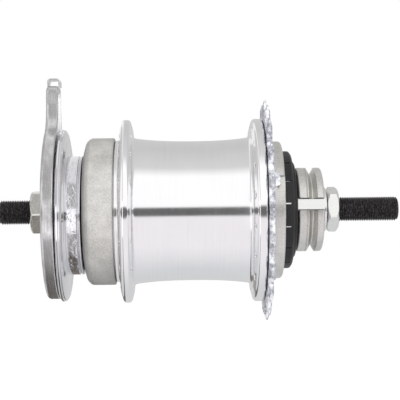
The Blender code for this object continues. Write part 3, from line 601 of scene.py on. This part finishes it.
def make_brake_cover():
    """A plate that closes the arm's pan, with a groove by its edge and a fine ring scored in its face."""
    low_x, high_x, radius = span("brake_cover")
    high_x -= 0.8
    sheet = 1.4
    neck = CONE_NECK + COVER_SAG
    edge = [(low_x, radius - 0.9, 0.4), (low_x + 0.7, radius, 0.4), (low_x + 1.5, radius, 0.2)]
    groove = [(low_x + 1.7, radius - 0.45, 0.15), (low_x + 2.1, radius - 0.45, 0.15),
              (low_x + 2.3, radius - 0.2, 0.3)]
    shoulder = [(low_x + 3.1, radius - 1.6, 0.8), (low_x + 3.45, radius - 4.0)]
    scored = [(low_x + 3.5, radius - 4.2, 0.1), (low_x + 3.3, radius - 4.5, 0.1),
              (low_x + 3.3, radius - 4.9, 0.1), (low_x + 3.65, radius - 5.3, 0.2)]
    face = [(high_x - 0.35, radius - 8.0, 1.5), (high_x, radius - 11.0, 1.5), (high_x, neck)]
    inside = [(high_x - sheet, neck), (high_x - sheet, radius - 10.5), (low_x + 1.8, radius - 4.0),
              (low_x + 1.4, radius - 2.4), (low_x, radius - 2.4)]
    profile = rounded(edge + groove + shoulder + scored + face + inside, steps=4)
    piece = turned("brake_cover_plate", profile, CHROME, sag=COVER_SAG)
    settle(piece, "axle_unit", "pressed_chrome", "brake_cover")


def make_brake_boss():
    """A bright cup with a groove that leaves a lip at its open end."""
    left, right, radius = span("brake_boss")
    left -= 1.3
    right += 0.8
    wall, floor, groove_depth = 2.0, 1.6, 0.7
    neck = CONE_NECK + COVER_SAG
    outer = [(left - 0.3, radius - 0.6, 0.3), (left + 0.3, radius, 0.5), (right - 1.55, radius, 0.15),
             (right - 1.35, radius - groove_depth, 0.15), (right - 0.95, radius - groove_depth, 0.15),
             (right - 0.75, radius, 0.25), (right, radius - 0.05, 0.25)]
    inner = [(right, radius - wall), (left + floor, radius - wall), (left + floor, neck),
             (left - 0.3, neck)]
    cup = turned("brake_boss_cup", rounded(outer + inner), BOSS_CHROME, sag=COVER_SAG)
    settle(cup, "axle_unit", "pressed_chrome", "brake_boss")


# ---- shell ---------------------------------------------------------------------------------------
SHELL_LEFT, SHELL_RIGHT, FLANGE_RADIUS = span("hub_shell")
SHELL_BORE = 25.6
LEFT_FLANGE = (SHELL_LEFT + 7.2, SHELL_LEFT + 12.5)         # the x of its two faces
RIGHT_FLANGE = (SHELL_RIGHT - 5.0, SHELL_RIGHT)
BARREL_WAIST = 29.5
BARREL_RISE = 1.5
SPOKE_COUNT = 18
SPOKE_CIRCLE = 35.4
SPOKE_HOLE = 1.35


def make_drum_cover():
    """A matt cup over the brake, with a soft shoulder at its left end."""
    left, right, radius = span("drum_cover")
    left += 0.8
    inner, hole, wall = 28.7, 18.6, 0.9
    profile = rounded([(left, hole, 0.4), (left, radius - 5.5, 1.5), (left + 1.1, radius - 1.6, 3.0),
                       (left + 3.0, radius, 2.0), (right, radius, 0.6), (right, inner, 0.2),
                       (left + wall, inner), (left + wall, hole, 0.3)])
    settle(turned("drum_cover_shell", profile, DRUM), "shell", "matt_alloy", "drum_cover")


def barrel_radius(x):
    """The waisted barrel's outer radius between the flanges."""
    middle = (LEFT_FLANGE[1] + RIGHT_FLANGE[0]) / 2
    half = (RIGHT_FLANGE[0] - LEFT_FLANGE[1]) / 2
    return BARREL_WAIST + BARREL_RISE * (abs(x - middle) / half) ** 2.5


def flange_rim(face, inwards):
    """Corners up one face of a flange, which tapers towards its round-edged rim."""
    height, taper = 4.0, 1.1
    return [(face, FLANGE_RADIUS - height, 2.0), (face + inwards * taper, FLANGE_RADIUS, 1.4)]


def shell_profile():
    """The shell's outline, from the sleeve under the drum cover over both flanges to the bore."""
    neck_left, neck, sleeve = LEFT_FLANGE[0] - 2.0, 30.0, 28.4
    inner_left, inner_right = LEFT_FLANGE[1], RIGHT_FLANGE[0]
    root, root_width, barrel_steps = 1.8, 3.0, 24
    corners = [(SHELL_LEFT, SHELL_BORE), (SHELL_LEFT, sleeve, 0.3), (neck_left, sleeve),
               (neck_left, neck, 0.35), (LEFT_FLANGE[0], neck, 0.7)]
    corners += flange_rim(LEFT_FLANGE[0], 1.0)
    corners += flange_rim(inner_left, -1.0)[::-1]
    corners.append((inner_left, barrel_radius(inner_left), root))
    start = inner_left + root_width
    end = inner_right - root_width
    for i in range(barrel_steps + 1):
        x = start + (end - start) * i / barrel_steps
        corners.append((x, barrel_radius(x)))
    corners.append((inner_right, barrel_radius(inner_right), root))
    corners += flange_rim(inner_right, 1.0)
    corners += [(RIGHT_FLANGE[1], FLANGE_RADIUS, 0.8), (RIGHT_FLANGE[1], 28.0, 0.3),
                (SHELL_RIGHT - 0.1, 27.6), (SHELL_RIGHT - 0.1, SHELL_BORE)]
    return rounded(corners, steps=7)


def spoke_hole_tools():
    """One bar for each spoke hole, widening at both faces of its flange."""
    sink, steps = 0.6, 20
    wide = SPOKE_HOLE + 2 * sink
    bars = []
    for (left, right), shift in ((LEFT_FLANGE, 0.0), (RIGHT_FLANGE, 0.5)):
        stations = [(left - sink, wide), (left + sink, SPOKE_HOLE), (right - sink, SPOKE_HOLE),
                    (right + sink, wide)]
        for hole in range(SPOKE_COUNT):
            y, z = polar(SPOKE_CIRCLE, 2 * math.pi * (hole + shift) / SPOKE_COUNT)
            bars.append([at(x, [(y + a, z + b) for a, b in circle(r, steps)]) for x, r in stations])
    return tool_of(bars, POLISHED)


def make_hub_shell():
    """The waisted barrel with its two drilled flanges."""
    shell = turned("hub_shell_barrel", shell_profile(), POLISHED)
    cut(shell, spoke_hole_tools())
    settle(shell, "shell", "polished_alloy", "hub_shell")


# ---- sprocket end --------------------------------------------------------------------------------
SPROCKET_TEETH = 21
CHAIN_PITCH = 12.7
SPROCKET_LEFT, SPROCKET_RIGHT, _ = span("sprocket")
DISC_LEFT, DISC_RIGHT, DISC_RADIUS = span("sprocket_dust_disc")
DRIVER_SEAT = 17.3
LUG_COUNT = 3
LUG_ANGLE = math.pi - math.radians(25.5)


def sprocket_outline(ease, drop):
    """Roller-chain teeth, made narrower by ease and lower by drop."""
    roller_seat, tip_height, tip_rounding, tip_half = 3.95, 4.0, 1.1, 0.055
    pitch_radius = CHAIN_PITCH / (2 * math.sin(math.pi / SPROCKET_TEETH))
    tip_radius = pitch_radius + tip_height - drop
    step = 2 * math.pi / SPROCKET_TEETH
    outline = []
    for tooth in range(SPROCKET_TEETH):
        seat = step * tooth
        seat_y, seat_z = polar(pitch_radius, seat)
        for swing in range(75, -76, -15):
            y, z = polar(roller_seat + ease, seat + math.pi + math.radians(swing))
            outline.append((seat_y + y, seat_z + z))
        for share in (0.445, 0.47, 0.5, 0.53, 0.555):
            lowered = tip_rounding * (abs(share - 0.5) / tip_half) ** 3
            outline.append(polar(tip_radius - lowered, seat + step * share))
    return outline


def make_sprocket():
    """A plate whose teeth thin towards their tips; its section is in steps of (inwards, ease, drop)."""
    tooth_root = 37.6
    section = [(0.0, 0.5, 3.0), (0.3, 0.1, 1.9), (0.75, 0.0, 0.35), (0.95, 0.0, 0.0)]
    angles = [math.atan2(z, y) for y, z in sprocket_outline(0.0, 0.0)]
    rows = [at(SPROCKET_LEFT + inwards, sprocket_outline(ease, drop))
            for inwards, ease, drop in section]
    rows += [at(SPROCKET_RIGHT - inwards, sprocket_outline(ease, drop))
             for inwards, ease, drop in section[::-1]]
    for x, r in ((SPROCKET_RIGHT, tooth_root), (SPROCKET_RIGHT, DRIVER_SEAT),
                 (SPROCKET_LEFT, DRIVER_SEAT), (SPROCKET_LEFT, tooth_root)):
        rows.append(at(x, [polar(r, a) for a in angles]))
    wheel = stack("sprocket_wheel", rows, SPROCKET, sharp=28.0)
    settle(wheel, "driver", "sprocket_zinc", "sprocket")


def lug_angles():
    return [LUG_ANGLE + 2 * math.pi * i / LUG_COUNT for i in range(LUG_COUNT)]


def make_sprocket_lugs():
    """Small tongues that the sprocket bends over the dust disc's edge."""
    half_width, length, corner = 3.2, 3.3, 1.6
    outline = rounded([(-half_width, 0.0), (half_width, 0.0), (half_width, length, corner),
                       (-half_width, length, corner)], steps=6)
    layers = ((DISC_RADIUS - 0.4, 1.0), (DISC_RADIUS + 0.55, 1.0), (DISC_RADIUS + 0.85, 0.86))
    start = SPROCKET_RIGHT - 0.2
    bm = bmesh.new()
    for angle in lug_angles():
        loops = [[(start + along * shrink, radius, across * shrink) for across, along in outline]
                 for radius, shrink in layers]
        add_stack(bm, turn_loops(loops, angle), ring=False)
    settle(write_mesh("sprocket_lugs", bm, SPROCKET), "driver", "sprocket_zinc")


def make_dust_disc():
    """A satin cup beside the sprocket, with a notch in its edge by each lug."""
    left, right, radius, sheet = DISC_LEFT, DISC_RIGHT, DISC_RADIUS, 1.4
    profile = rounded([(left, radius, 0.2), (right, radius, 1.3), (right, DRIVER_SEAT, 0.2),
                       (right - sheet, DRIVER_SEAT), (right - sheet, radius - sheet, 0.5),
                       (left, radius - sheet)])
    disc = turned("dust_disc_cup", profile, SATIN)
    notch = box_loops((right - 3.4, radius - 1.0, -1.9), (right + 1.0, radius + 2.0, 6.8))
    cut(disc, tool_of([turn_loops(notch, angle) for angle in lug_angles()], SATIN))
    settle(disc, "driver", "satin_alloy", "sprocket_dust_disc")


def make_dust_cap():
    """A black stepped cap, slit from its left edge over a thin bright ring."""
    left, right, radius = span("dust_cap")
    low_step, bore, wall = 20.5, 13.2, 0.5
    profile = rounded([(left, radius, 0.15), (left + 2.9, radius, 1.2), (right - 1.4, radius - 1.3, 0.4),
                       (right - 1.4, low_step, 0.25), (right - 0.5, low_step, 0.5),
                       (right, low_step - 0.7, 0.3), (right, bore, 0.3), (right - 1.9, bore),
                       (right - 1.9, 17.6), (left + 2.2, 18.8), (left + 2.2, radius - wall),
                       (left, radius - wall)])
    cap = turned("dust_cap_stepped", profile, BLACK)
    slit_count, slit_half, slit_length = 16, 0.33, 2.4
    first = math.pi - math.radians(6.4)
    slit = box_loops((left - 1.0, radius - 1.0, -slit_half), (left + slit_length, radius + 1.0, slit_half))
    slits = [turn_loops(slit, first + 2 * math.pi * i / slit_count) for i in range(slit_count)]
    cut(cap, tool_of(slits, BLACK))
    settle(cap, "driver", "black_plastic", "dust_cap")
    liner_width, liner_wall = 2.1, 0.8
    outer = radius - wall - 0.05
    inner = outer - liner_wall
    ring = [(left, outer), (left + liner_width, outer), (left + liner_width, inner), (left, inner)]
    settle(turned("dust_cap_liner", ring, CLIP), "driver", "clip_zinc")


# ---- selector ------------------------------------------------------------------------------------
def make_selector_pulley():
    """A body with a V groove for the gear cable, and a flat key lying in a channel across it."""
    left, right, radius = span("selector_pulley")
    groove, half, flat, depth, hub = right - 4.8, 1.75, 0.25, 2.6, 9.0
    scored, score_depth = groove - 2.5, 0.3
    outer = [(left, radius, 1.3), (scored - 0.25, radius, 0.06), (scored - 0.1, radius - score_depth),
             (scored + 0.1, radius - score_depth), (scored + 0.25, radius, 0.06),
             (groove - half, radius, 0.3), (groove - flat, radius - depth, 0.2),
             (groove + flat, radius - depth, 0.2), (groove + half, radius, 0.3),
             (right - 0.4, radius, 1.0), (right, radius - 1.6, 1.2)]
    face = [(right, 15.4, 0.2), (right - 0.5, 15.0, 0.2), (right - 0.5, 11.4, 0.2), (right, 11.0, 0.2),
            (right, AXLE_BORE, 0.3), (right - 1.6, AXLE_BORE), (right - 1.6, hub), (left, hub)]
    pulley = turned("selector_pulley_body", rounded(outer + face, steps=4), SATIN)
    channel_half, key_half, key_bottom = 2.6, 2.1, radius - 3.2
    channel_angle = math.pi - math.radians(8.0)
    channel = box_loops((left - 1.0, key_bottom - 0.1, -channel_half),
                        (right + 1.0, radius + 2.0, channel_half))
    cut(pulley, tool_of([turn_loops(channel, channel_angle)], STEEL))
    settle(pulley, "selector", "satin_alloy", "selector_pulley")
    key = box_loops((left + 0.2, key_bottom, -key_half), (right - 0.1, radius - 1.1, key_half))
    plate = stack("selector_key", turn_loops(key, channel_angle), BRIGHT_NUT, ring=False)
    settle(plate, "selector", "satin_alloy")


# ---- studio --------------------------------------------------------------------------------------
CAMERA = Vector((-4.5, -530.0, 4.5))
CAMERA_AIM = Vector((6.5, 0.0, 4.5))
CAMERA_ROLL = math.radians(-0.6)
FRAME_WIDTH = 170.2          # what the picture's width covers at the axle
SENSOR = 36.0
WHITE = (1.0, 1.0, 1.0, 1.0)
LAVENDER = (0.91, 0.885, 0.91)
DIFFUSE_SHARE = 0.64         # the part of the studio's light that falls on matt surfaces


def make_camera():
    """A camera at the photo's angle, rolled a little as the photo's is."""
    data = bpy.data.cameras.new("camera")
    data.sensor_width = SENSOR
    data.lens = SENSOR * (CAMERA_AIM - CAMERA).length / FRAME_WIDTH
    data.clip_start = 0.01
    made = bpy.data.objects.new("camera", data)
    made.location = CAMERA * MM
    look = (CAMERA_AIM - CAMERA).to_track_quat("-Z", "Y").to_matrix()
    made.rotation_euler = (look @ Matrix.Rotation(CAMERA_ROLL, 3, "Z")).to_euler()
    bpy.context.scene.collection.objects.link(made)
    bpy.context.scene.camera = made


def make_floor():
    """A pale floor well below the hub, with a little glow; metal and matt surfaces don't see it."""
    low, half = -100.0, 1500.0
    bm = bmesh.new()
    corners = [(-half, -half), (half, -half), (half, half), (-half, half)]
    bm.faces.new([bm.verts.new((x, y, low)) for x, y in corners])
    n = Nodes(bpy.data.materials.new("pale_floor"))
    grain = n.noise(n.position(), 30.0, 2.0)
    n.feed("Base Color", n.colour_between(grain, (0.90, 0.90, 0.91), (0.94, 0.94, 0.94)))
    n.feed("Roughness", n.spread(grain, 0.8, 0.9))
    n.plain(Emission_Color=WHITE, Emission_Strength=0.5)
    floor = write_mesh("floor", bm, n.owner)
    floor.visible_glossy = False
    floor.visible_diffuse = False


def grey(value, warmth=0.0):
    return (value * (1 + warmth), value, value * (1 - warmth))


def make_world():
    """A studio seen in the metal, white above a dark gap and pale below; the camera sees it white."""
    world = bpy.data.worlds.new("studio")
    bpy.context.scene.world = world
    n = Nodes(world)
    _, y, z = n.split(n.add("ShaderNodeTexCoord").outputs["Generated"])
    panels = n.ramp(n.round_share(y, z), [
        (-180, grey(0.64)), (-110, grey(0.70, -0.02)), (-60, LAVENDER), (-9.2, LAVENDER),
        (-6.8, grey(0.14)), (4.8, grey(0.14)), (7.0, grey(1.08)), (58, grey(1.08)), (74, grey(0.70)),
        (120, grey(0.60)), (179, grey(0.64))])
    plain = n.add("ShaderNodeMix", data_type="RGBA")
    plain.inputs["B"].default_value = WHITE
    path = n.add("ShaderNodeLightPath")
    n.link(path.outputs["Is Camera Ray"], plain.inputs["Factor"])
    background = n.tree.nodes["Background"]
    strength = n.spread(path.outputs["Is Diffuse Ray"], 1.0, DIFFUSE_SHARE, 0.0, 1.0)
    n.link(strength, background.inputs["Strength"])
    n.link(panels, plain.inputs["A"])
    n.link(plain.outputs["Result"], background.inputs["Color"])


def make_end_screen():
    """A round screen about the brake end, seen only in mirrors: white in front, dark below."""
    left, right, radius, steps = -160.0, -66.0, 380.0, 96
    n = Nodes(bpy.data.materials.new("end_screen"))
    _, y, z = n.split(n.position())
    panels = n.ramp(n.round_share(y, z), [
        (-180, grey(0.50)), (-150, grey(0.16, 0.10)), (-85, grey(0.10, 0.14)), (-70, grey(0.30, 0.05)),
        (-33, grey(0.42)), (-28, grey(1.35)), (9, grey(1.35)), (15, grey(0.42)), (60, grey(0.50)),
        (70, grey(0.90)), (179, grey(0.90))])
    n.feed("Emission Color", panels)
    n.plain(Base_Color=(0.0, 0.0, 0.0, 1.0), Specular_IOR_Level=0.0, Emission_Strength=1.0)
    bm = bmesh.new()
    rows = [[bm.verts.new(point) for point in at(x, circle(radius, steps))] for x in (left, right)]
    for i in range(steps):
        after = (i + 1) % steps
        bm.faces.new((rows[0][i], rows[1][i], rows[1][after], rows[0][after]))
    screen = write_mesh("end_screen", bm, n.owner)
    screen.visible_camera = False
    screen.visible_diffuse = False
    screen.visible_shadow = False


def make_light(name, place, size, watts):
    """A soft panel that looks at the hub and doesn't show in its metal."""
    data = bpy.data.lights.new(name, "AREA")
    data.shape = "DISK"
    data.size = size * MM
    data.energy = watts
    made = bpy.data.objects.new(name, data)
    made.location = Vector(place) * MM
    made.rotation_euler = (-Vector(place)).to_track_quat("-Z", "Y").to_euler()
    made.visible_glossy = False
    bpy.context.scene.collection.objects.link(made)


def make_studio():
    make_camera()
    make_floor()
    make_world()
    make_end_screen()
    make_light("key", (150.0, -650.0, 130.0), 300.0, 4.2)
    make_light("fill", (-450.0, -450.0, 150.0), 400.0, 1.0)
    bpy.context.scene.view_settings.view_transform = "Standard"


def main():
    dress_hidden_nodes()
    make_axle()
    make_nut("left_locknut_hex", "left_locknut", 5.5, NUT)
    make_nut("right_locknut_hex", "right_locknut", 20.0, BRIGHT_NUT)
    make_right_washer()
    make_brake_arm()
    make_end_clip()
    make_brake_cover()
    make_brake_boss()
    make_drum_cover()
    make_hub_shell()
    make_sprocket()
    make_sprocket_lugs()
    make_dust_disc()
    make_dust_cap()
    make_selector_pulley()
    make_studio()


main()
